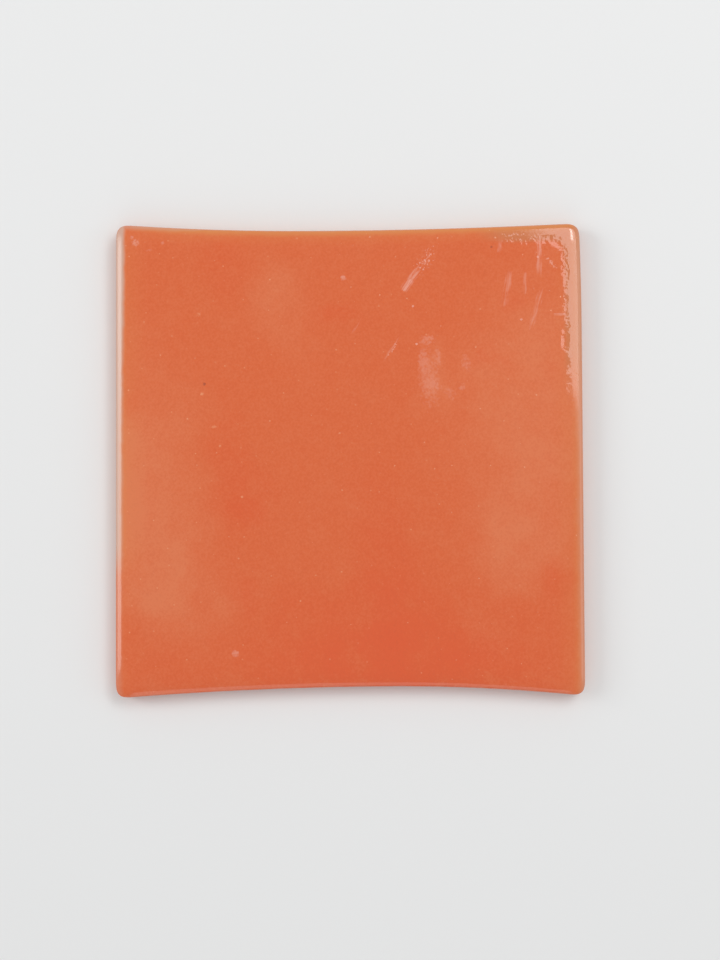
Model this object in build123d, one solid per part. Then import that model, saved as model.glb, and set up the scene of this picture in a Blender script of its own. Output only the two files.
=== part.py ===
"""A slab of opaque smalti glass, hand-formed as one piece and sold whole for cutting into tesserae.

The slab lies on its back, front face up. The origin is at the middle of its box, on the back face.
+X runs across the two straight sides and +Y along them, towards the side that is drawn in least.
All sizes are in millimetres.
"""

from build123d import *

import os

# Plan size, before the corners are rounded
WIDTH = 120.0
HEIGHT = 121.8
THICKNESS = 6.0

# The far and near sides are drawn in between their corners, deepest a little off the middle
FAR_DRAW_IN = 1.8
FAR_DEEPEST_X = -12.5
NEAR_DRAW_IN = 2.7
NEAR_DEEPEST_X = 10.5

# The right side leans in over a short stretch below its far corner
SHOULDER_LEAN = 0.45
SHOULDER_LENGTH = 30.0

# Fire-rounded rim of the front, the corners of the flat inside it, and the softened edge of the back
RIM_RADIUS = 2.4
FLAT_CORNER_RADIUS = 0.4
BACK_EDGE_RADIUS = 1.0

# The plan's corners are rounded so that the rim can run round them
CORNERS = 4
CORNER_RADIUS = RIM_RADIUS + FLAT_CORNER_RADIUS

# Where the plan's sides lie
RIGHT = WIDTH / 2
LEFT = -WIDTH / 2
FAR = HEIGHT / 2
NEAR = -HEIGHT / 2

NODE = "glass_tile"


def drawn_in_side(left_corner, deepest, right_corner):
    """Two arcs that meet smoothly at the deepest point of a side that is drawn in."""
    return [
        TangentArc(deepest, left_corner, tangent=(-1, 0)),
        TangentArc(deepest, right_corner, tangent=(1, 0)),
    ]


def plan_outline():
    """The slab's outline seen from the front, with sharp corners."""
    near_left = (LEFT, NEAR)
    near_right = (RIGHT, NEAR)
    far_left = (LEFT, FAR)
    far_right = (RIGHT - SHOULDER_LEAN, FAR)
    shoulder = (RIGHT, FAR - SHOULDER_LENGTH)
    far_side = drawn_in_side(far_left, (FAR_DEEPEST_X, FAR - FAR_DRAW_IN), far_right)
    near_side = drawn_in_side(near_left, (NEAR_DEEPEST_X, NEAR + NEAR_DRAW_IN), near_right)
    left_side = Line(near_left, far_left)
    right_side = [
        Line(near_right, shoulder),
        TangentArc(shoulder, far_right, tangent=(0, 1)),
    ]
    return Wire([*far_side, *near_side, left_side, *right_side])


def glass_tile():
    """The slab: its plan drawn up to the thickness, corners rounded, then the rim and the back edge."""
    slab = extrude(Face(plan_outline()), THICKNESS)
    upright_edges = slab.edges().filter_by(Axis.Z)
    corner_edges = upright_edges.sort_by_distance((0, 0))[-CORNERS:]
    slab = fillet(corner_edges, CORNER_RADIUS)
    slab = fillet(slab.faces().sort_by(Axis.Z)[-1].edges(), RIM_RADIUS)
    slab = fillet(slab.faces().sort_by(Axis.Z)[0].edges(), BACK_EDGE_RADIUS)
    middle = slab.bounding_box().center()
    return Pos(-middle.X, -middle.Y, 0) * slab


os.makedirs("parts", exist_ok=True)
export_step(glass_tile(), f"parts/{NODE}.step")
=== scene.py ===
import math
from collections import namedtuple

import bpy
from mathutils import Matrix, Vector


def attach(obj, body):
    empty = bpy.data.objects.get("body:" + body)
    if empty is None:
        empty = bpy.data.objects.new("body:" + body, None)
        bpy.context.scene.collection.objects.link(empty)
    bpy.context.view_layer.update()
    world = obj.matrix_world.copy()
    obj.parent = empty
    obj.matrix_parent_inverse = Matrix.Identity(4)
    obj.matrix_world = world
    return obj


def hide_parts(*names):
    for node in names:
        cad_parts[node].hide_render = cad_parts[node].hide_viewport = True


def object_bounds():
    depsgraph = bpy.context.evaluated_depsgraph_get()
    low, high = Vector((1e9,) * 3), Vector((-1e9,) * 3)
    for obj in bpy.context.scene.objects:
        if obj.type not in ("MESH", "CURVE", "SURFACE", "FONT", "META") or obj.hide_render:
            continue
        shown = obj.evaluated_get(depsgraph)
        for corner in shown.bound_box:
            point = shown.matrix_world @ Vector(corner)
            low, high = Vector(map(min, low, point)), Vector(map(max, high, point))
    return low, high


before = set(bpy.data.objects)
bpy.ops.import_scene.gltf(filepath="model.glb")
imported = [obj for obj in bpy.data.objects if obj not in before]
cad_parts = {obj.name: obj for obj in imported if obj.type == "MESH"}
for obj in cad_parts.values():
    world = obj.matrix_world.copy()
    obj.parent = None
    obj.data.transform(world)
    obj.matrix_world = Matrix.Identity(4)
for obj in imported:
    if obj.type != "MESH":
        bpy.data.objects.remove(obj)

bl_info = {
    "name": "Smalti Slab",
    "version": (1, 0, 0),
    "blender": (4, 5, 0),
    "location": "3D View > Sidebar > Smalti",
    "description": "Makes a hand-formed slab of opaque orange smalti glass and a pale stage for it",
    "category": "Add Mesh",
}

MM = 0.001
NODE = "glass_tile"
BODY = "root"
CAD_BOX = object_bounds()
SIZE = CAD_BOX[1] - CAD_BOX[0]

# The mesh is a cube whose grid is drawn closer together over the rim than over the flat
PLAN_POINTS = 161
HEIGHT_POINTS = 13
FLAT_SHARE = 0.7
EDGE_SHARE = 0.5
BACK_EDGE_SHARE = 0.5
ROLL_POWER = 4
EDGE_POWER = 1.5
# The cube is 2 high, and a point beyond this height lies on its front or its back
FACE = 0.999
# Keeps a divisor above zero
TINY = 1e-12

# The photograph's frame in pixels, and how the slab stands in it
PHOTO_WIDTH = 720
PHOTO_HEIGHT = 960
MIDDLE_COLUMN = 349.78
MIDDLE_ROW = 459.57
PIXELS_PER_METRE = 3881.5
AIM_HEIGHT = 3.6 * MM
LOOK_DIRECTION = (0.00885, 0.035, -1.0)
PICTURE_RIGHT = (1.0, -0.00446, 0.0)
SENSOR = 36.0


class Wire:
    """A number carried between nodes. Arithmetic on wires adds the Math nodes that work it out."""

    def __init__(self, net, socket):
        self.net = net
        self.socket = socket

    def __add__(self, other):
        return self.net.math("ADD", self, other)

    def __radd__(self, other):
        return self.net.math("ADD", other, self)

    def __sub__(self, other):
        return self.net.math("SUBTRACT", self, other)

    def __rsub__(self, other):
        return self.net.math("SUBTRACT", other, self)

    def __mul__(self, other):
        return self.net.math("MULTIPLY", self, other)

    def __rmul__(self, other):
        return self.net.math("MULTIPLY", other, self)

    def __truediv__(self, other):
        return self.net.math("DIVIDE", self, other)

    def __rtruediv__(self, other):
        return self.net.math("DIVIDE", other, self)

    def __pow__(self, other):
        return self.net.math("POWER", self, other)


class Net:
    """A node tree and the short calls that add nodes to it."""

    def __init__(self, tree):
        self.tree = tree

    def feed(self, socket, value):
        """Joins an input to a wire or to another socket, or sets it to a plain value."""
        if isinstance(value, Wire):
            value = value.socket
        if isinstance(value, bpy.types.NodeSocket):
            self.tree.links.new(value, socket)
        else:
            socket.default_value = value

    def put(self, kind, inputs=None, **settings):
        """Adds a node, makes its settings, feeds its inputs by name or number and returns it."""
        made = self.tree.nodes.new(kind)
        for name, value in settings.items():
            setattr(made, name, value)
        for key, value in (inputs or {}).items():
            self.feed(made.inputs[key], value)
        return made

    def wire(self, socket):
        return Wire(self, socket)

    def math(self, operation, *values):
        """A Math node's result."""
        made = self.put("ShaderNodeMath", dict(enumerate(values)), operation=operation)
        return self.wire(made.outputs[0])

    def clamped(self, value):
        """The value, held between 0 and 1."""
        return self.wire(self.put("ShaderNodeClamp", {"Value": value}).outputs[0])

    def step(self, value, start, end):
        """A smooth step from 0 at start to 1 at end."""
        inputs = {"Value": value, "From Min": start, "From Max": end}
        made = self.put("ShaderNodeMapRange", inputs, interpolation_type="SMOOTHSTEP")
        return self.wire(made.outputs["Result"])

    def parts(self, vector):
        """The three parts of a vector, as wires."""
        made = self.put("ShaderNodeSeparateXYZ", {0: vector})
        return [self.wire(socket) for socket in made.outputs]

    def vector(self, x, y, z):
        return self.put("ShaderNodeCombineXYZ", {0: x, 1: y, 2: z}).outputs[0]

    def noise(self, place, size, detail=2.0, roughness=0.5, seed=0.0):
        """Noise from 0 to 1 whose largest features are about the given size."""
        inputs = {
            "Vector": place,
            "W": seed,
            "Scale": 1.0 / size,
            "Detail": detail,
            "Roughness": roughness,
        }
        made = self.put("ShaderNodeTexNoise", inputs, noise_dimensions="4D")
        return self.wire(made.outputs["Fac"])

    def mix(self, share, first, second):
        """The first colour, giving way to the second by a share."""
        made = self.put("ShaderNodeMix", data_type="RGBA")
        colours = [socket for socket in made.inputs if socket.type == "RGBA"]
        self.feed(made.inputs["Factor"], share)
        self.feed(colours[0], first)
        self.feed(colours[1], second)
        return next(socket for socket in made.outputs if socket.type == "RGBA")


# The property groups hold what a user would change


def length(name, description, default):
    return bpy.props.FloatProperty(
        name=name, description=description, default=default, unit="LENGTH", precision=5
    )


def colour(name, description, default):
    return bpy.props.FloatVectorProperty(
        name=name, description=description, default=default, size=3, subtype="COLOR", min=0, max=1
    )


def share(name, description, default):
    return bpy.props.FloatProperty(
        name=name, description=description, default=default, min=0, max=1, subtype="FACTOR"
    )


def number(name, description, default):
    return bpy.props.FloatProperty(name=name, description=description, default=default, min=0)


class SlabShape(bpy.types.PropertyGroup):
    """Sizes of the slab."""

    width: length("Width", "From one straight side to the other", SIZE.x)
    reach: length("Reach", "Between the tips of the drawn-out corners", SIZE.y)
    thickness: length("Thickness", "From the back to the flat of the front", SIZE.z)
    corner_trim: length("Corner trim", "What the rounding takes off the drawn-out corners", 0.33 * MM)
    corner_reach: length("Corner reach", "How far the rounding of a corner runs along its sides", 4.6 * MM)
    corner_power: number("Corner power", "How square the corners are: 2 is round, more is squarer", 3.5)
    edge_width: length("Edge width", "Width of the tight edge where the front meets the sides", 1.35 * MM)
    edge_uneven: share("Edge unevenness", "How much wider that edge is on the left than on the right", 0.25)
    edge_depth: length("Edge depth", "How far the tight edge turns down", 0.4 * MM)
    roll_width: length("Roll width", "How far in from the sides the front starts to roll off", 10.0 * MM)
    roll_depth: length("Roll depth", "How far the front rolls down before its edge", 0.9 * MM)
    back_edge: length("Back edge", "Radius of the softened edge of the back", 1.0 * MM)
    far_draw_in: length("Far draw-in", "How far the far side is drawn in", 1.8 * MM)
    far_deepest: length("Far deepest", "Where along X the far side is deepest", -12.5 * MM)
    near_draw_in: length("Near draw-in", "How far the near side is drawn in", 2.7 * MM)
    near_deepest: length("Near deepest", "Where along X the near side is deepest", 10.5 * MM)
    shoulder_lean: length("Shoulder lean", "How far the right side leans in at its far corner", 0.45 * MM)
    shoulder_length: length("Shoulder length", "The stretch over which it leans", 30.0 * MM)
    wave_height: length("Wave height", "Height of the slow waves of the front", 0.1 * MM)
    wave_size: length("Wave size", "How far apart the slow waves are", 24.0 * MM)
    seed: number("Seed", "Which waves the front has", 3.0)


class SlabFinish(bpy.types.PropertyGroup):
    """Colours and gloss of the glass."""

    body: colour("Body", "The glass over most of the front", (0.675, 0.0990, 0.0098))
    deep: colour("Deep", "Clouds of redder glass", (0.695, 0.080, 0.008))
    # Paler orange: the painted sheen of the pale clouds, and fine speckle of the glass
    pale: colour("Pale", "Veils of paler glass", (0.700, 0.163, 0.051))
    amber: colour("Amber", "The rim, where the glass cooled first", (0.675, 0.215, 0.048))
    # Painted toning: a darker colour under the far-right sheen; the sheen itself is the lamps' reflection
    umber: colour("Umber", "The rolled rim at the far right", (0.530, 0.170, 0.060))
    # Painted highlight: the pale band along the rim; its added roughness is real
    ground: colour("Ground", "The edge, ground dull and pale", (0.590, 0.345, 0.255))
    # Pale colour of scuffs, partly real wear and partly painted sheen, and of the flecks
    bare: colour("Bare", "Scuffed and scraped places", (0.820, 0.400, 0.310))
    # Painted glints: pits and small flecks drawn bright, as if catching the light
    spark: colour("Spark", "Pits and small flecks that catch the light", (0.860, 0.380, 0.190))
    dark: colour("Dark", "Specks of ash in the glass", (0.220, 0.030, 0.012))
    gloss: share("Gloss roughness", "Roughness of the fire-polished front", 0.07)
    dull: share("Back roughness", "Roughness of the back, which lay on the table", 0.45)


class StageLook(bpy.types.PropertyGroup):
    """The pale floor, the light and the camera."""

    floor: colour("Floor", "The pale floor", (0.795, 0.800, 0.800))
    backdrop: colour("Backdrop", "What shows beyond the floor", (0.82, 0.83, 0.83))
    fill: share("Fill", "Strength of the soft light from all round", 0.57)
    window_glow: number("Window glow", "Brightness of the near window, half that of the far one", 2.6)
    softbox_glow: number("Softbox glow", "Brightness of the panels overhead, where 1 is white", 2.7)
    glint_glow: number("Glint glow", "Brightness of the narrow strip among the panels overhead", 8.0)
    reflector_glow: number("Reflector glow", "Brightness of the panels on the right and the near side", 0.8)
    distance: length("Camera distance", "From the camera to the middle of the slab", 0.42)


SHAPE_INPUTS = tuple(SlabShape.__annotations__)


# The slab's shape


def tight_edge(net, size, progress, across):
    """The front's edge, from 0 where a corner's rounding starts to 1 at the side.

    Across runs from -1 on the left to 1 on the right. Gives how far out the edge is, as a share of the
    corner's reach, and how far it has turned down.
    """
    edge = size["edge_width"] * (1 - size["edge_uneven"] * across) / size["corner_reach"]
    level = net.math("MINIMUM", progress / (1 - EDGE_SHARE), 1.0)
    turn = net.math("MAXIMUM", (progress - (1 - EDGE_SHARE)) / EDGE_SHARE, 0.0) * (math.pi / 2)
    outward = level * (1 - edge) + edge * net.math("SINE", turn) ** (2 / EDGE_POWER)
    upright = net.math("MAXIMUM", net.math("COSINE", turn), 0.0)
    drop = size["edge_depth"] * (1 - upright ** (2 / EDGE_POWER))
    return outward, drop


def side_wall(net, size, climb):
    """The side, from 0 at the back to 1 under the front's edge.

    Gives how far out it is, as a share of the corner's reach, its height within the back's softened
    edge, and how far up the plain wall it is.
    """
    turn = net.math("MINIMUM", climb / BACK_EDGE_SHARE, 1.0) * (math.pi / 2)
    inset = size["back_edge"] / size["corner_reach"]
    outward = 1 - inset * (1 - net.math("SINE", turn))
    lift = size["back_edge"] * (1 - net.math("COSINE", turn))
    wall = net.math("MAXIMUM", (climb - BACK_EDGE_SHARE) / (1 - BACK_EDGE_SHARE), 0.0)
    return outward, lift, wall


def chosen(test, when_true, when_false):
    """One of two numbers, by a test that is 0 or 1."""
    return when_false + test * (when_true - when_false)


def drawn_in(net, x, half_width, deepest, depth):
    """How far a side is drawn in at x: nothing at its corners and all of the depth where it is deepest."""
    beyond = net.math("GREATER_THAN", x, deepest)
    reach = chosen(beyond, half_width - deepest, half_width + deepest)
    return depth * (1 - ((x - deepest) / reach) ** 2)


def slab_points(net, size):
    """Where each point of the cube goes, and the values that it carries for the glass."""
    cube_x, cube_y, cube_z = net.parts(net.put("GeometryNodeInputPosition").outputs[0])
    half_width = size["width"] / 2
    half_reach = (size["reach"] + size["corner_trim"]) / 2
    halves = (half_width, half_reach)

    # Share of the way across the flat, then across the corner's reach, along each axis
    flat, into_corner = [], []
    for along in (cube_x, cube_y):
        out = net.math("ABSOLUTE", along)
        flat.append(net.math("MINIMUM", out / FLAT_SHARE, 1.0))
        into_corner.append(net.math("MAXIMUM", (out - FLAT_SHARE) / (1 - FLAT_SHARE), 0.0))
    progress = net.math("MAXIMUM", *into_corner)
    power = size["corner_power"]
    spread = net.math("MAXIMUM", into_corner[0] ** power + into_corner[1] ** power, TINY) ** (1 / power)

    # The plan: tight edge on the front, wall on the sides, flat on the back
    on_front = net.math("GREATER_THAN", cube_z, FACE)
    on_back = net.math("LESS_THAN", cube_z, -FACE)
    edge_out, edge_drop = tight_edge(net, size, progress, cube_x)
    wall_out, wall_lift, wall = side_wall(net, size, (cube_z + 1) / 2)
    back_out = progress * (1 - size["back_edge"] / size["corner_reach"])
    outward = chosen(on_front, edge_out, chosen(on_back, back_out, wall_out))
    plan = []
    for along, half, flat_share, corner_share in zip((cube_x, cube_y), halves, flat, into_corner):
        reach = size["corner_reach"]
        distance = (half - reach) * flat_share + reach * outward * corner_share / spread
        plan.append(net.math("SIGN", along) * distance)
    x, y = plan

    # The height: the front rolls off towards the sides, and the wall ends under its edge
    side_inset, end_inset = [half - net.math("ABSOLUTE", along) for along, half in zip(plan, halves)]
    rolled = 0.0
    for inset in (side_inset, end_inset):
        rolled = rolled + net.math("MAXIMUM", 1 - inset / size["roll_width"], 0.0) ** ROLL_POWER
    top = size["thickness"] - size["roll_depth"] * rolled
    wall_height = wall_lift + wall * (top - size["edge_depth"] - size["back_edge"])
    height = chosen(on_front, top - edge_drop, wall_height)

    # The far and near sides drawn in, and the lean of the right side's shoulder
    far_share = (y / half_reach + 1) / 2
    far = drawn_in(net, x, half_width, size["far_deepest"], size["far_draw_in"])
    near = drawn_in(net, x, half_width, size["near_deepest"], size["near_draw_in"])
    shaped_y = y - far * far_share + near * (1 - far_share)
    start = half_reach - size["shoulder_length"]
    climb = net.math("MAXIMUM", (y - start) / size["shoulder_length"], 0.0)
    right_share = (x / half_width + 1) / 2
    shaped_x = x - size["shoulder_lean"] * climb * climb * right_share

    # Slow waves of the front, which only lower it
    place = net.vector(shaped_x, shaped_y, 0.0)
    wave = net.noise(place, size["wave_size"], detail=1.0, seed=size["seed"])
    waved = size["wave_height"] * wave * (height / size["thickness"]) ** 2
    cloud = cloud_group()
    strayed = stray(net, place)
    carried = {
        "rim": net.clamped(rolled ** (1 / ROLL_POWER)),
        "side_inset": side_inset,
        "end_inset": end_inset,
        "deep": clouded(net, cloud, strayed, DEEP_CLOUDS),
        "pale": clouded(net, cloud, strayed, SHEEN_CLOUDS),
        "peel": net.clamped(clouded(net, cloud, place, ROUGH_PEEL)),
    }
    return net.vector(shaped_x, shaped_y, height - waved), carried


def slab_tree(material):
    """Geometry Nodes that roll a cube's grid into the slab."""
    tree = bpy.data.node_groups.new("Smalti slab", "GeometryNodeTree")
    tree.is_modifier = True
    tree.interface.new_socket("Geometry", in_out="OUTPUT", socket_type="NodeSocketGeometry")
    for key in SHAPE_INPUTS:
        label = key.replace("_", " ").capitalize()
        tree.interface.new_socket(label, in_out="INPUT", socket_type="NodeSocketFloat")
    net = Net(tree)
    sources = net.put("NodeGroupInput").outputs
    size = {key: net.wire(socket) for key, socket in zip(SHAPE_INPUTS, sources)}
    cube = net.put(
        "GeometryNodeMeshCube",
        {
            "Size": (2.0, 2.0, 2.0),
            "Vertices X": PLAN_POINTS,
            "Vertices Y": PLAN_POINTS,
            "Vertices Z": HEIGHT_POINTS,
        },
    )
    places, carried = slab_points(net, size)
    grid = cube.outputs["Mesh"]
    for name, value in carried.items():
        stored = net.put(
            "GeometryNodeStoreNamedAttribute",
            {"Geometry": grid, "Name": name, "Value": value},
            data_type="FLOAT",
            domain="POINT",
        )
        grid = stored.outputs[0]
    shaped = net.put("GeometryNodeSetPosition", {"Geometry": grid, "Position": places})
    smooth = net.put("GeometryNodeSetShadeSmooth", {"Geometry": shaped.outputs[0], "Shade Smooth": True})
    whole = net.put("GeometryNodeRealizeInstances", {"Geometry": smooth.outputs[0]})
    finished = net.put("GeometryNodeSetMaterial", {"Geometry": whole.outputs[0], "Material": material})
    net.put("NodeGroupOutput", {0: finished.outputs[0]})
    return tree


def plain_mesh(maker, tree, shape):
    """The mesh that a Geometry Nodes tree makes with the given sizes."""
    modifier = maker.modifiers.new("Shape", "NODES")
    modifier.node_group = tree
    inputs = [item for item in tree.interface.items_tree if item.in_out == "INPUT"]
    for key, item in zip(SHAPE_INPUTS, inputs):
        modifier[item.identifier] = getattr(shape, key)
    graph = bpy.context.evaluated_depsgraph_get()
    mesh = bpy.data.meshes.new_from_object(maker.evaluated_get(graph), depsgraph=graph)
    maker.modifiers.remove(modifier)
    for slot in reversed(range(len(mesh.materials))):
        if mesh.materials[slot] is None:
            mesh.materials.pop(index=slot)
    return mesh


# Clouds in the glass, painted sheen and glints, and marks of the front, in millimetres from its middle

Cloud = namedtuple("Cloud", "start end width strength")
# A mark's cover is how much of it shows: above 1 it is solid
Mark = namedtuple("Mark", "start end width cover strength")
Texture = namedtuple("Texture", "grain stretch soft blunt")


def spot(place, width, cover, strength):
    """A round mark, whose start and end are one."""
    return Mark(place, place, width, cover, strength)


def puff(place, width, strength):
    """A round cloud, whose start and end are one."""
    return Cloud(place, place, width, strength)


SCRAPE = Texture(grain=0.4, stretch=10.0, soft=0.6, blunt=8.0)
SPRAY = Texture(grain=0.55, stretch=1.0, soft=0.25, blunt=2.0)
WORN = Texture(grain=0.7, stretch=1.2, soft=0.65, blunt=2.0)
FLECK = Texture(grain=0.5, stretch=1.0, soft=0.9, blunt=2.0)

# Painted sheen: pale clouds where the glossy front reflects the room
SHEEN_CLOUDS = (
    Cloud((-18.0, 46.0), (-17.5, 36.0), 23.0, 0.42),
    Cloud((-54.0, 20.0), (-50.0, -34.0), 48.0, 0.52),
    Cloud((-50.0, -20.0), (-48.0, -34.0), 28.0, 0.34),
    Cloud((-59.0, 4.0), (-58.0, -20.0), 20.0, 0.75),
    puff((-41.0, -38.0), 34.0, 0.40),
    Cloud((48.0, 34.0), (44.0, -4.0), 56.0, 0.60),
    Cloud((52.0, 2.0), (52.0, -10.0), 26.0, 0.22),
    puff((52.5, -21.0), 20.0, 0.40),
    Cloud((39.0, -16.0), (41.0, -28.0), 26.0, 0.58),
    Cloud((33.0, -40.0), (34.5, -52.0), 14.0, 0.20),
    Cloud((21.0, 29.0), (21.5, 13.0), 17.0, 0.40),
)
DEEP_CLOUDS = (
    puff((-29.0, -10.5), 28.0, 0.28),
    puff((-27.0, -14.5), 13.0, 0.22),
    Cloud((-31.5, 14.0), (-29.5, -6.0), 13.0, 0.24),
    Cloud((-6.0, -54.0), (26.0, -54.0), 62.0, 0.62),
    Cloud((8.0, -8.0), (10.0, -40.0), 30.0, 0.26),
    puff((-31.5, 52.0), 24.0, 0.24),
    puff((-55.0, 15.0), 11.0, 0.45),
    Cloud((-8.5, 35.0), (1.0, 36.5), 11.0, 0.30),
    puff((35.5, 25.5), 11.0, 0.40),
    puff((42.0, 39.5), 11.0, 0.30),
    puff((54.0, -28.5), 13.0, 0.20),
    puff((-27.5, -37.0), 13.0, 0.25),
)
ROUGH_PEEL = (
    Cloud((57.0, 62.0), (57.0, 24.0), 22.0, 2.0),
    Cloud((38.0, 60.0), (60.0, 60.0), 16.0, 2.0),
)
# Scrapes: real scuffs, drawn pale as painted sheen where they catch the light
SCRAPE_SHEENS = (
    Mark((20.6, 53.5), (15.4, 45.8), 3.6, 0.60, 0.30),
    Mark((17.2, 48.0), (14.6, 44.2), 3.4, 0.90, 0.46),
    Mark((15.8, 45.8), (14.4, 43.8), 1.8, 1.00, 0.58),
    Mark((12.8, 31.6), (8.8, 25.4), 1.2, 0.70, 0.36),
    Mark((4.4, 38.6), (0.7, 32.2), 1.2, 0.55, 0.20),
    Mark((38.9, 57.6), (38.8, 53.6), 1.8, 0.80, 0.34),
    Mark((49.1, 57.0), (48.9, 47.8), 2.6, 0.88, 0.38),
    Mark((41.4, 47.8), (40.2, 40.2), 3.0, 0.85, 0.29),
    Mark((45.4, 47.4), (45.1, 42.8), 2.0, 0.85, 0.26),
    Mark((49.4, 43.0), (46.8, 33.8), 2.8, 0.80, 0.27),
    Mark((53.0, 37.1), (55.2, 37.1), 1.2, 1.00, 0.34),
)
# Painted highlights: sprays and spots of bright dots where the front glints
GLINT_SPRAYS = (
    Mark((22.0, 55.0), (17.5, 47.5), 6.0, 0.50, 0.62),
    Mark((38.0, 57.6), (47.5, 57.8), 1.6, 0.55, 0.45),
    Mark((50.6, 52.0), (53.6, 49.0), 1.8, 0.66, 0.45),
    Mark((13.6, 32.0), (8.6, 24.6), 1.4, 0.55, 0.55),
    spot((48.7, 51.9), 0.8, 1.3, 0.60),
    spot((17.3, 29.5), 0.9, 1.3, 0.60),
    spot((16.4, 39.3), 0.8, 1.3, 0.55),
    spot((44.3, 35.8), 0.8, 1.3, 0.50),
)
# Worn places: real wear, drawn pale as painted sheen
WORN_SHEEN_PLACES = (
    Mark((19.6, 28.5), (21.0, 13.0), 8.0, 1.00, 0.18),
    Mark((19.0, 30.4), (21.2, 30.9), 4.0, 1.05, 0.24),
    Mark((18.8, 28.4), (19.4, 21.4), 4.4, 1.10, 0.24),
    Mark((22.6, 28.0), (22.8, 23.8), 3.4, 0.95, 0.22),
    Mark((19.8, 19.8), (22.2, 18.8), 5.6, 1.10, 0.24),
    Mark((29.9, 26.2), (30.1, 23.0), 3.8, 0.95, 0.20),
    Mark((25.2, 17.8), (26.6, 15.8), 4.6, 0.85, 0.18),
    spot((29.0, 18.4), 3.0, 1.00, 0.20),
)
FLECKS = (
    spot((-55.8, 57.3), 1.6, 1.2, 0.34),
    spot((-54.9, 56.0), 3.0, 1.2, 0.44),
    spot((-47.9, 55.9), 1.4, 1.2, 0.28),
    Mark((-52.2, 53.7), (-50.4, 54.2), 1.2, 1.0, 0.20),
    spot((-1.5, 46.7), 2.2, 1.3, 0.42),
    spot((-29.4, -49.5), 2.8, 1.3, 0.40),
)
# Painted glints: bright spots where pits catch the light
PIT_GLINTS = (
    spot((-38.6, 37.3), 2.0, 1.0, 0.34),
    spot((-37.8, 16.9), 1.4, 1.4, 0.50),
    Mark((-35.6, 8.2), (-33.9, 8.7), 1.3, 1.1, 0.36),
    spot((-33.2, 3.5), 1.0, 1.4, 0.36),
    spot((-27.6, -9.6), 1.0, 1.4, 0.46),
)
# Dark specks: the first is painted shade in a pit, beside a painted glint below it
SPECKS = (
    spot((-37.2, 19.4), 1.2, 1.5, 0.55),
    spot((36.8, 54.6), 1.0, 1.5, 0.45),
)

# The glass: its grain and relief
DRIFT_SIZE = 8.0 * MM
MOTTLE_SIZE = 2.4 * MM
GRAIN_SIZE = 0.6 * MM
STRAY_SIZE = 15.0 * MM
STRAY_REACH = 18.0 * MM
PIT_SPACING = 3.6 * MM
PIT_RADIUS = 0.24 * MM
PIT_SHARE = 0.55
PIT_DEPTH = 0.03 * MM
PEEL_SIZE = 0.75 * MM
PEEL_HEIGHT = 0.005 * MM
LUMP_SIZE = 4.4 * MM
LUMP_HEIGHT = 0.42 * MM
GLASS_IOR = 1.6
SCUFF_ROUGHNESS = 0.4
RIM_HIGHLIGHT_ROUGHNESS = 0.2

# Where the finish changes: each pair is where a smooth step starts and where it is full
FRONT_HEIGHT = (3.6 * MM, 4.8 * MM)
BACK_HEIGHT = (1.2 * MM, 0.2 * MM)
LEFT_HALF = (20.0 * MM, -20.0 * MM)
FAR_HALF = (0.0, 50.0 * MM)
NEAR_HALF = (0.0, -60.0 * MM)
FAR_RIM = (-20.0 * MM, 20.0 * MM)
PAST_LEFT_CORNER = (-64.0 * MM, -46.0 * MM)
LEFT_CORNER = (-34.0 * MM, -50.0 * MM)
NEAR_LEFT = (-20.0 * MM, -32.0 * MM)
ROLLED_RIM = (0.48, 0.66)
LUMPS_BEGIN = (0.42, 0.54)
LUMPS_END = (0.74, 0.62)

# Amber along the rim, in millimetres in from its edge
Band = namedtuple("Band", "start full strength")
AMBER_FAR = (Band(2.2, 0.4, 0.70), Band(5.0, 1.5, 0.20))
AMBER_SIDES = (Band(3.6, 1.0, 0.32), Band(9.0, 2.0, 0.16))

# The painted rim highlight: a pale band in from the rim that is solid, then thins, then is gone
WANDER_SIZE = 3.0 * MM
WANDER_REACH = 0.8 * MM
SIDE_SOLID = -0.3 * MM
SIDE_SOLID_LEFT = 0.7 * MM
SIDE_SOLID_FAR_LEFT = 1.15 * MM
SIDE_GONE = 2.4 * MM
SIDE_GONE_FAR_LEFT = 0.35 * MM
END_GONE = 0.5 * MM
END_GONE_CORNER = 1.2 * MM
# Painted shade: the share that the rim highlight and the side amber lose at the near left
NEAR_LEFT_LOSS = 0.75


def new_group(name, kind_of_tree, inputs, output):
    """An empty node group with its sockets. Gives the group, its net and its inputs by name."""
    tree = bpy.data.node_groups.new(name, kind_of_tree)
    for label, kind in inputs.items():
        tree.interface.new_socket(label, in_out="INPUT", socket_type=kind)
    tree.interface.new_socket(output, in_out="OUTPUT", socket_type="NodeSocketFloat")
    net = Net(tree)
    sockets = net.put("NodeGroupInput").outputs
    return tree, net, {label: net.wire(sockets[label]) for label in inputs}


PLACE_INPUTS = {
    "Position": "NodeSocketVector",
    "Centre": "NodeSocketVector",
    "Along": "NodeSocketVector",
    "Across": "NodeSocketVector",
    "Half length": "NodeSocketFloat",
    "Half width": "NodeSocketFloat",
}


def own_frame(net, source):
    """How far a point lies across and along a cloud or a mark, from its middle."""
    moved = net.put(
        "ShaderNodeVectorMath", {0: source["Position"], 1: source["Centre"]}, operation="SUBTRACT"
    )
    lies = []
    for direction in ("Across", "Along"):
        inputs = {0: moved.outputs[0], 1: source[direction]}
        measured = net.put("ShaderNodeVectorMath", inputs, operation="DOT_PRODUCT")
        lies.append(net.wire(measured.outputs["Value"]))
    return lies


def cloud_group():
    """A soft cloud, for the slab's points."""
    tree, net, source = new_group("Cloud", "GeometryNodeTree", PLACE_INPUTS, "Mask")
    across, along = own_frame(net, source)
    out = (across / source["Half width"]) ** 2 + (along / source["Half length"]) ** 2
    net.put("NodeGroupOutput", {"Mask": net.math("MAXIMUM", 1 - out, 0.0) ** 2})
    return tree


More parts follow.
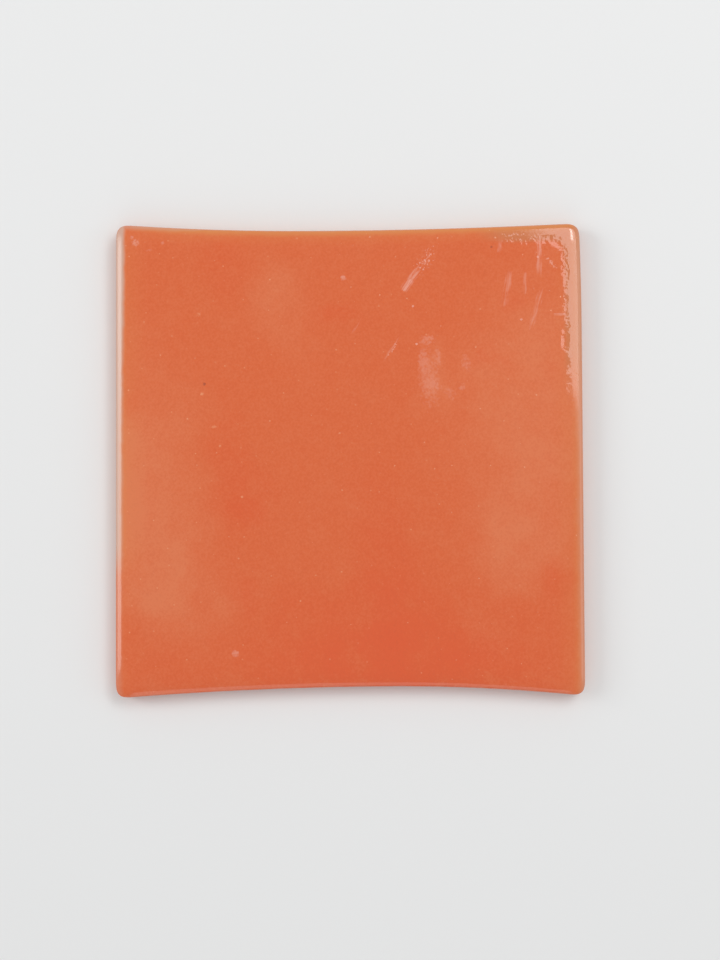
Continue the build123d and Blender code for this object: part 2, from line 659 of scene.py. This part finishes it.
def mark_group():
    """A ragged mark, for the glass: long or round, solid or broken up, hard or soft."""
    inputs = {
        **PLACE_INPUTS,
        "Cover": "NodeSocketFloat",
        "Grain": "NodeSocketFloat",
        "Stretch": "NodeSocketFloat",
        "Soft": "NodeSocketFloat",
        "Blunt": "NodeSocketFloat",
        "Seed": "NodeSocketFloat",
    }
    tree, net, source = new_group("Mark", "ShaderNodeTree", inputs, "Mask")
    across, along = own_frame(net, source)
    along_out = net.math("ABSOLUTE", along / source["Half length"]) ** source["Blunt"]
    out = (across / source["Half width"]) ** 2 + along_out
    density = source["Cover"] * net.math("MAXIMUM", 1 - out, 0.0)
    grain = source["Grain"]
    place = net.vector(across / grain, along / (grain * source["Stretch"]), 0.0)
    broken = net.noise(place, 1.0, detail=2.5, roughness=0.55, seed=source["Seed"])
    contrast = 2.2
    spread = net.clamped((broken - 0.5) * contrast + 0.5)
    mask = net.step(spread, 1 - density, 1 - density + source["Soft"])
    net.put("NodeGroupOutput", {"Mask": mask})
    return tree


def pit_group():
    """Small round pits, at most one to a cell, each with a size and a strength of its own."""
    inputs = {
        "Position": "NodeSocketVector",
        "Spacing": "NodeSocketFloat",
        "Radius": "NodeSocketFloat",
        "Share": "NodeSocketFloat",
    }
    tree, net, source = new_group("Pits", "ShaderNodeTree", inputs, "Mask")
    cells = net.put(
        "ShaderNodeTexVoronoi",
        {"Vector": source["Position"], "Scale": 1 / source["Spacing"]},
        voronoi_dimensions="2D",
        feature="F1",
    )
    draws = net.put("ShaderNodeSeparateColor", {0: cells.outputs["Color"]})
    present_draw, size_draw, strength_draw = [net.wire(socket) for socket in draws.outputs]
    present = net.math("LESS_THAN", present_draw, source["Share"])

    # A pit is 0.6 to 1.4 times the radius, and most are faint
    radius = source["Radius"] * (0.6 + size_draw * 0.8)
    strength = 0.15 + strength_draw ** 3 * 0.85
    distance = net.wire(cells.outputs["Distance"]) * source["Spacing"]
    pit = net.step(distance, radius, radius * 0.3)
    net.put("NodeGroupOutput", {"Mask": present * pit * strength})
    return tree


def placed(net, group, position, mark, **others):
    """A cloud's or a mark's group, set where it lies. Gives its mask."""
    start = Vector((*mark.start, 0.0)) * MM
    end = Vector((*mark.end, 0.0)) * MM
    run = end - start
    along = run.normalized() if run.length else Vector((0, 1, 0))
    inputs = {
        "Position": position,
        "Centre": (start + end) / 2,
        "Along": along,
        "Across": (along.y, -along.x, 0.0),
        "Half length": (run.length + mark.width * MM) / 2,
        "Half width": mark.width * MM / 2,
        **others,
    }
    kind = group.bl_idname.replace("Tree", "Group")
    return net.wire(net.put(kind, inputs, node_tree=group).outputs["Mask"])


def stray(net, place):
    """A place moved about by noise, so that clouds have no plain outline."""
    noise = net.put("ShaderNodeTexNoise", {"Vector": place, "Scale": 1 / STRAY_SIZE, "Detail": 3.0})
    middle = net.put(
        "ShaderNodeVectorMath", {0: noise.outputs["Color"], 1: (0.5, 0.5, 0.5)}, operation="SUBTRACT"
    )
    moved = net.put("ShaderNodeVectorMath", {0: middle.outputs[0], "Scale": STRAY_REACH}, operation="SCALE")
    return net.put("ShaderNodeVectorMath", {0: place, 1: moved.outputs[0]}, operation="ADD").outputs[0]


def clouded(net, group, position, clouds):
    """How thick the clouds lie, added up."""
    thickness = 0.0
    for cloud in clouds:
        thickness = thickness + placed(net, group, position, cloud) * cloud.strength
    return thickness


def marked(net, group, position, marks, texture):
    """How strongly the front is marked, by whichever of the marks is strongest."""
    strongest = 0.0
    for seed, mark in enumerate(marks):
        mask = placed(
            net,
            group,
            position,
            mark,
            Cover=mark.cover,
            Grain=texture.grain * MM,
            Stretch=texture.stretch,
            Soft=texture.soft,
            Blunt=texture.blunt,
            Seed=float(seed),
        )
        strongest = net.math("MAXIMUM", strongest, mask * mark.strength)
    return strongest


def carried_value(net, name):
    """A value that the slab's points carry."""
    return net.wire(net.put("ShaderNodeAttribute", attribute_name=name).outputs["Fac"])


def banded(net, inset, bands):
    """How strongly bands colour the rim, added up."""
    strength = 0.0
    for band in bands:
        strength = strength + net.step(inset, band.start * MM, band.full * MM) * band.strength
    return strength


def glass_tint(net, finish, position):
    """The glass: its body colour with deep clouds and fine grain, painted sheen as pale veils, and painted
    shade as deeper red towards the near side.
    """
    y = net.parts(position)[1]
    drift = net.noise(position, DRIFT_SIZE, detail=5.0, roughness=0.65, seed=1.0)
    grain = net.noise(position, GRAIN_SIZE, detail=2.0, roughness=0.6, seed=4.0)
    mottle = net.noise(position, MOTTLE_SIZE, detail=2.0, seed=7.0)
    # Painted shade: the red deepens towards the near side, where the front shows least sheen
    clouds = carried_value(net, "deep") + net.step(y, *NEAR_HALF) * 0.2
    deep = net.clamped(clouds * (1.7 - drift * 1.4))
    speckle = net.step(drift, 0.45, 0.75) * 0.15 + net.step(grain, 0.35, 0.75) * 0.35 + mottle * 0.2
    # Painted sheen from the pale clouds, with the glass's own fine speckle
    pale = net.clamped(carried_value(net, "pale") * (0.3 + drift * 1.4) - deep * 0.4 + speckle)
    tint = net.mix(deep, (*finish.body, 1), (*finish.deep, 1))
    tint = net.mix(pale, tint, (*finish.pale, 1))
    return net.mix(net.step(grain, 0.55, 0.25) * 0.06, tint, (*finish.dark, 1))


def rim_tint(net, finish, tint, position, front, rough_peel):
    """The tint with its rim: amber glass, painted toning under the far-right sheen and a painted highlight
    band. Gives the band's mask too.
    """
    x, y, _ = net.parts(position)
    wander = (net.noise(position, WANDER_SIZE, seed=5.0) - 0.5) * WANDER_REACH
    side = carried_value(net, "side_inset") + wander
    end = carried_value(net, "end_inset") + wander
    left = net.step(x, *LEFT_HALF)
    farther = net.step(y, *FAR_HALF)
    # Painted shade: at the near left the rim highlight and the side amber fade out
    kept = 1 - left * net.step(y, *NEAR_LEFT) * NEAR_LEFT_LOSS

    # Painted under the far-right sheen: darker umber where the far right is rolled, toning the lamps'
    # reflection there; and amber along the far rim and the sides
    rolled = net.step(carried_value(net, "rim"), *ROLLED_RIM) * rough_peel * 0.7
    tint = net.mix(rolled, tint, (*finish.umber, 1))
    far = net.step(y, *FAR_RIM) * net.step(x, *PAST_LEFT_CORNER)
    amber = net.math("MAXIMUM", banded(net, end, AMBER_FAR) * far, banded(net, side, AMBER_SIDES) * kept)
    tint = net.mix(amber, tint, (*finish.amber, 1))

    # The painted rim highlight, over the lamps' real reflection: widest at the far left, fading out at the
    # near left
    solid = left * (SIDE_SOLID_LEFT + farther * SIDE_SOLID_FAR_LEFT) + SIDE_SOLID
    gone = left * farther * SIDE_GONE_FAR_LEFT + SIDE_GONE
    highlight_side = net.step(side, gone, solid) * (0.45 + left * 0.55) * kept
    corner = net.step(x, *LEFT_CORNER) * farther
    highlight_end = net.step(end, corner * END_GONE_CORNER + END_GONE, 0.0) * (0.3 + corner * 0.2)
    ground = net.math("MAXIMUM", highlight_side, highlight_end) * front
    return net.mix(ground, tint, (*finish.ground, 1)), ground


def scuffed_tint(net, finish, tint, position, front):
    """The tint with the marks of the front: scuffs partly painted as sheen, painted glints, and dark
    specks, one of them painted shade. Gives the masks of its scuffs and its pits too.
    """
    marks = mark_group()
    pits = net.put(
        "ShaderNodeGroup",
        {"Position": position, "Spacing": PIT_SPACING, "Radius": PIT_RADIUS, "Share": PIT_SHARE},
        node_tree=pit_group(),
    )
    pitted = net.wire(pits.outputs["Mask"]) * front
    scuffs_and_sheen = 0.0
    for places, texture in ((SCRAPE_SHEENS, SCRAPE), (GLINT_SPRAYS, SPRAY), (WORN_SHEEN_PLACES, WORN), (FLECKS, FLECK)):
        scuffs_and_sheen = net.math("MAXIMUM", scuffs_and_sheen, marked(net, marks, position, places, texture))
    scuffs_and_sheen = scuffs_and_sheen * front
    # Scuffs drawn pale: partly real wear, partly painted sheen; the flecks take the same pale colour
    tint = net.mix(scuffs_and_sheen, tint, (*finish.bare, 1))
    # Painted glints in the pits and flecks; the pits' dents are real bump
    glints = net.math("MAXIMUM", marked(net, marks, position, PIT_GLINTS, FLECK) * front, pitted * 0.5)
    tint = net.mix(glints, tint, (*finish.spark, 1))
    specks = marked(net, marks, position, SPECKS, FLECK) * front
    return net.mix(specks, tint, (*finish.dark, 1)), scuffs_and_sheen, pitted


def surface_bump(net, position, rough_peel, pitted):
    """Orange peel and pits in the surface, and lumps inside the rim at the far right."""
    rim = carried_value(net, "rim")
    peel = net.noise(position, PEEL_SIZE, detail=2.0, roughness=0.5, seed=6.0) - 0.5
    lumps = net.noise(position, LUMP_SIZE, detail=3.0, roughness=0.58, seed=8.0) - 0.5
    lumpy = rough_peel * net.step(rim, *LUMPS_BEGIN) * net.step(rim, *LUMPS_END)
    height = peel * PEEL_HEIGHT + lumps * lumpy * LUMP_HEIGHT - pitted * PIT_DEPTH
    return net.put("ShaderNodeBump", {"Strength": 1.0, "Distance": 1.0, "Height": height}).outputs[0]


def smalti_glass(finish):
    """Opaque orange glass: cloudy, glossy, pitted and scuffed, with painted sheen, highlights, glints and
    shade in its colour.
    """
    material = bpy.data.materials.new("smalti_glass")
    material.use_nodes = True
    net = Net(material.node_tree)
    shader = material.node_tree.nodes["Principled BSDF"]
    position = net.put("ShaderNodeTexCoord").outputs["Object"]
    z = net.parts(position)[2]
    front = net.step(z, *FRONT_HEIGHT)
    back = net.step(z, *BACK_HEIGHT)
    rough_peel = carried_value(net, "peel") * front
    tint = glass_tint(net, finish, position)
    tint, ground = rim_tint(net, finish, tint, position, front, rough_peel)
    tint, scuffs_and_sheen, pitted = scuffed_tint(net, finish, tint, position, front)
    worked = scuffs_and_sheen * SCUFF_ROUGHNESS + ground * RIM_HIGHLIGHT_ROUGHNESS
    net.feed(shader.inputs["Base Color"], tint)
    net.feed(shader.inputs["Roughness"], finish.gloss + worked + back * (finish.dull - finish.gloss))
    net.feed(shader.inputs["IOR"], GLASS_IOR)
    net.feed(shader.inputs["Normal"], surface_bump(net, position, rough_peel, pitted))
    return material


# The stage: panels that stand round the slab, each with the direction of its own right, and panels overhead
SidePanel = namedtuple("SidePanel", "name middle right width height")
WINDOW_NEAR = SidePanel("window_near", (-0.7, -0.015, 0.5), (0, -1, 0), 0.23, 0.48)
WINDOW_FAR = SidePanel("window_far", (-0.7, 0.22, 0.5), (0, -1, 0), 0.24, 0.48)
REFLECTORS = (
    SidePanel("reflector_right", (0.7, 0.0, 0.435), (0, 1, 0), 0.42, 0.43),
    SidePanel("reflector_near", (0.0, -0.7, 0.435), (1, 0, 0), 0.40, 0.43),
)
CeilingPanel = namedtuple("CeilingPanel", "name height left right near far")
SOFTBOX = (
    CeilingPanel("softbox_end", 0.9, 0.46, 0.88, 0.10, 0.115),
    CeilingPanel("softbox_right", 0.9, 0.32, 0.88, 0.115, 0.26),
    CeilingPanel("softbox_corner", 0.9, 0.19, 0.88, 0.26, 0.42),
    CeilingPanel("softbox_far", 0.9, 0.155, 0.80, 0.42, 0.90),
)
SOFTBOX_STRIP = CeilingPanel("softbox_strip", 0.89, 0.50, 0.58, 0.35, 0.75)


def turned(right, up, backward):
    """A rotation whose X, Y and Z axes point along the three directions."""
    return Matrix((right, up, backward)).transposed().to_4x4()


def panel_lamp(name, middle, right, up, width, height, glow):
    """A soft rectangular lamp of even brightness that the camera doesn't see."""
    lamp = bpy.data.lights.new(name, "AREA")
    lamp.shape = "RECTANGLE"
    lamp.size = width
    lamp.size_y = height
    lamp.energy = glow * math.pi * width * height
    holder = bpy.data.objects.new(name, lamp)
    holder.matrix_world = Matrix.Translation(middle) @ turned(right, up, right.cross(up))
    holder.visible_camera = False
    bpy.context.scene.collection.objects.link(holder)


def side_panel(panel, glow):
    """A lamp that stands upright."""
    up = Vector((0, 0, 1))
    panel_lamp(panel.name, Vector(panel.middle), Vector(panel.right), up, panel.width, panel.height, glow)


def ceiling_panel(panel, glow):
    """A lamp overhead that faces the floor, from its four sides."""
    middle = Vector(((panel.left + panel.right) / 2, (panel.near + panel.far) / 2, panel.height))
    width = panel.right - panel.left
    depth = panel.far - panel.near
    panel_lamp(panel.name, middle, Vector((1, 0, 0)), Vector((0, 1, 0)), width, depth, glow)


def shown_rays(net):
    """1 for the rays that show the background itself: the camera's, reflections and what shines through."""
    rays = net.put("ShaderNodeLightPath").outputs
    shown = net.math("MAXIMUM", rays["Is Camera Ray"], rays["Is Glossy Ray"])
    return net.math("MAXIMUM", shown, rays["Is Transmission Ray"])


def pale_floor(look):
    """A wide pale floor just under the slab, which fades into the backdrop further out."""
    half = 4.0
    drop = -0.02 * MM
    fade_start = 0.25
    fade_end = 0.6
    mesh = bpy.data.meshes.new("floor")
    corners = [(-half, -half, drop), (half, -half, drop), (half, half, drop), (-half, half, drop)]
    mesh.from_pydata(corners, [], [(0, 1, 2, 3)])
    material = bpy.data.materials.new("pale_floor")
    material.use_nodes = True
    shader = material.node_tree.nodes["Principled BSDF"]
    shader.inputs["Base Color"].default_value = (*look.floor, 1)
    shader.inputs["Roughness"].default_value = 0.9
    shader.inputs["Specular IOR Level"].default_value = 0.1
    net = Net(material.node_tree)
    position = net.put("ShaderNodeTexCoord").outputs["Object"]
    away = net.wire(net.put("ShaderNodeVectorMath", {0: position}, operation="LENGTH").outputs["Value"])
    fade = net.step(away, fade_start, fade_end) * shown_rays(net)
    glow = net.put("ShaderNodeEmission", {"Color": (*look.backdrop, 1)})
    faded = net.put("ShaderNodeMixShader", {0: fade, 1: shader.outputs[0], 2: glow.outputs[0]})
    net.feed(material.node_tree.nodes["Material Output"].inputs["Surface"], faded.outputs[0])
    mesh.materials.append(material)
    floor = bpy.data.objects.new("floor", mesh)
    bpy.context.scene.collection.objects.link(floor)
    return floor


def soft_world(look):
    """Even light from all round, with a pale backdrop for the camera and for reflections."""
    world = bpy.data.worlds.new("soft_world")
    world.use_nodes = True
    net = Net(world.node_tree)
    background = world.node_tree.nodes["Background"]
    fill = (look.fill, look.fill, look.fill, 1)
    net.feed(background.inputs["Color"], net.mix(shown_rays(net), fill, (*look.backdrop, 1)))
    bpy.context.scene.world = world


def soft_lamps(look):
    """Windows on the left, reflectors right and near, and a stepped softbox at the far right."""
    side_panel(WINDOW_NEAR, look.window_glow)
    side_panel(WINDOW_FAR, 2 * look.window_glow)
    for panel in REFLECTORS:
        side_panel(panel, look.reflector_glow)
    for panel in SOFTBOX:
        ceiling_panel(panel, look.softbox_glow)
    ceiling_panel(SOFTBOX_STRIP, look.glint_glow)


def photo_camera(look):
    """The camera at the photograph's angle, looking down on the front."""
    eye = bpy.data.cameras.new("camera")
    eye.sensor_width = SENSOR
    eye.lens = SENSOR * look.distance * PIXELS_PER_METRE / PHOTO_HEIGHT
    eye.clip_start = 0.01
    holder = bpy.data.objects.new("camera", eye)
    forward = Vector(LOOK_DIRECTION).normalized()
    right = Vector(PICTURE_RIGHT)
    right = (right - right.dot(forward) * forward).normalized()
    up = right.cross(forward)
    across = (MIDDLE_COLUMN - PHOTO_WIDTH / 2) / PIXELS_PER_METRE
    above = (PHOTO_HEIGHT / 2 - MIDDLE_ROW) / PIXELS_PER_METRE
    middle = Vector((0.0, 0.0, AIM_HEIGHT))
    place = middle - across * right - above * up - look.distance * forward
    holder.matrix_world = Matrix.Translation(place) @ turned(right, up, -forward)
    bpy.context.scene.collection.objects.link(holder)
    bpy.context.scene.camera = holder


class SMALTI_OT_make_slab(bpy.types.Operator):
    """Make the glass slab in place of its plain solid"""

    bl_idname = "smalti.make_slab"
    bl_label = "Make Slab"

    def execute(self, context):
        material = smalti_glass(context.scene.smalti_finish)
        maker = bpy.data.objects.new("slab_maker", bpy.data.meshes.new("slab_maker"))
        context.scene.collection.objects.link(maker)
        mesh = plain_mesh(maker, slab_tree(material), context.scene.smalti_shape)
        bpy.data.objects.remove(maker)
        if not mesh.polygons:
            raise RuntimeError("the slab's nodes made no faces")
        mesh.name = "smalti_slab"
        slab = bpy.data.objects.new("smalti_slab", mesh)
        context.scene.collection.objects.link(slab)
        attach(slab, BODY)
        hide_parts(NODE)
        return {"FINISHED"}


class SMALTI_OT_make_stage(bpy.types.Operator):
    """Make the floor, the soft light and the camera"""

    bl_idname = "smalti.make_stage"
    bl_label = "Make Stage"

    def execute(self, context):
        look = context.scene.smalti_stage
        pale_floor(look)
        soft_world(look)
        soft_lamps(look)
        photo_camera(look)
        context.scene.view_settings.view_transform = "Standard"
        return {"FINISHED"}


class SMALTI_PT_sidebar(bpy.types.Panel):
    """Sizes, colours and light of the slab"""

    bl_label = "Smalti Slab"
    bl_idname = "SMALTI_PT_sidebar"
    bl_space_type = "VIEW_3D"
    bl_region_type = "UI"
    bl_category = "Smalti"

    def draw(self, context):
        scene = context.scene
        for settings in (scene.smalti_shape, scene.smalti_finish, scene.smalti_stage):
            box = self.layout.box()
            for key in settings.__annotations__:
                box.prop(settings, key)
        self.layout.operator(SMALTI_OT_make_slab.bl_idname)
        self.layout.operator(SMALTI_OT_make_stage.bl_idname)


SETTINGS = {
    "smalti_shape": SlabShape,
    "smalti_finish": SlabFinish,
    "smalti_stage": StageLook,
}
CLASSES = (*SETTINGS.values(), SMALTI_OT_make_slab, SMALTI_OT_make_stage, SMALTI_PT_sidebar)


def register():
    for each in CLASSES:
        bpy.utils.register_class(each)
    for key, group in SETTINGS.items():
        setattr(bpy.types.Scene, key, bpy.props.PointerProperty(type=group))


def unregister():
    for key in SETTINGS:
        delattr(bpy.types.Scene, key)
    for each in reversed(CLASSES):
        bpy.utils.unregister_class(each)


def main():
    register()
    bpy.ops.smalti.make_slab()
    bpy.ops.smalti.make_stage()


if __name__ == "__main__":
    main()
